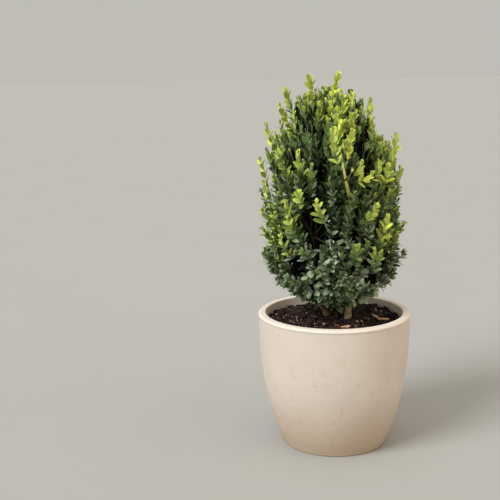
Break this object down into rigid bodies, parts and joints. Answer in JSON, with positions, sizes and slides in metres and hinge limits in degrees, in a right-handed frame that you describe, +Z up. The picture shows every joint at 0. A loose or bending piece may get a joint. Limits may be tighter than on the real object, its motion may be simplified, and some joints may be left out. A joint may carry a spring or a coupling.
{
  "type": "potted boxwood shrub",
  "caption": "Young upright boxwood with a dense, loosely pyramidal crown on thin stems, growing in a round tapered planter filled with bark mix.",
  "frame": {"origin": "centre of the planter's flat underside, on the ground", "axes": "+Z up along the planter's axis; -Y towards the pictured front; +X to the right in the picture"},
  "size_m": [0.4, 0.4, 0.9847],
  "materials": {
    "planter": "matte cream, finely pitted",
    "soil": "loose dark bark mix",
    "bark": "matte tan bark",
    "foliage": "satin green leaves"
  },
  "bodies": {
    "root": {"planter": "planter", "potting_soil": "soil", "stem_right": "bark", "stem_left": "bark", "stem_back": "bark", "bough_low_1": "bark", "bough_low_2": "bark", "bough_low_3": "bark", "bough_low_4": "bark", "bough_low_5": "bark", "bough_middle_1": "bark", "bough_middle_2": "bark", "bough_middle_3": "bark", "bough_middle_4": "bark", "bough_middle_5": "bark", "bough_high_1": "bark", "bough_high_2": "bark", "bough_high_3": "bark", "bough_high_4": "bark", "foliage_low_1": "foliage", "foliage_low_2": "foliage", "foliage_low_3": "foliage", "foliage_low_4": "foliage", "foliage_low_5": "foliage", "foliage_middle_1": "foliage", "foliage_middle_2": "foliage", "foliage_middle_3": "foliage", "foliage_middle_4": "foliage", "foliage_middle_5": "foliage", "foliage_high_1": "foliage", "foliage_high_2": "foliage", "foliage_high_3": "foliage", "foliage_high_4": "foliage", "foliage_top_right": "foliage", "foliage_top_left": "foliage", "foliage_top_back": "foliage"}
  },
  "joints": []
}
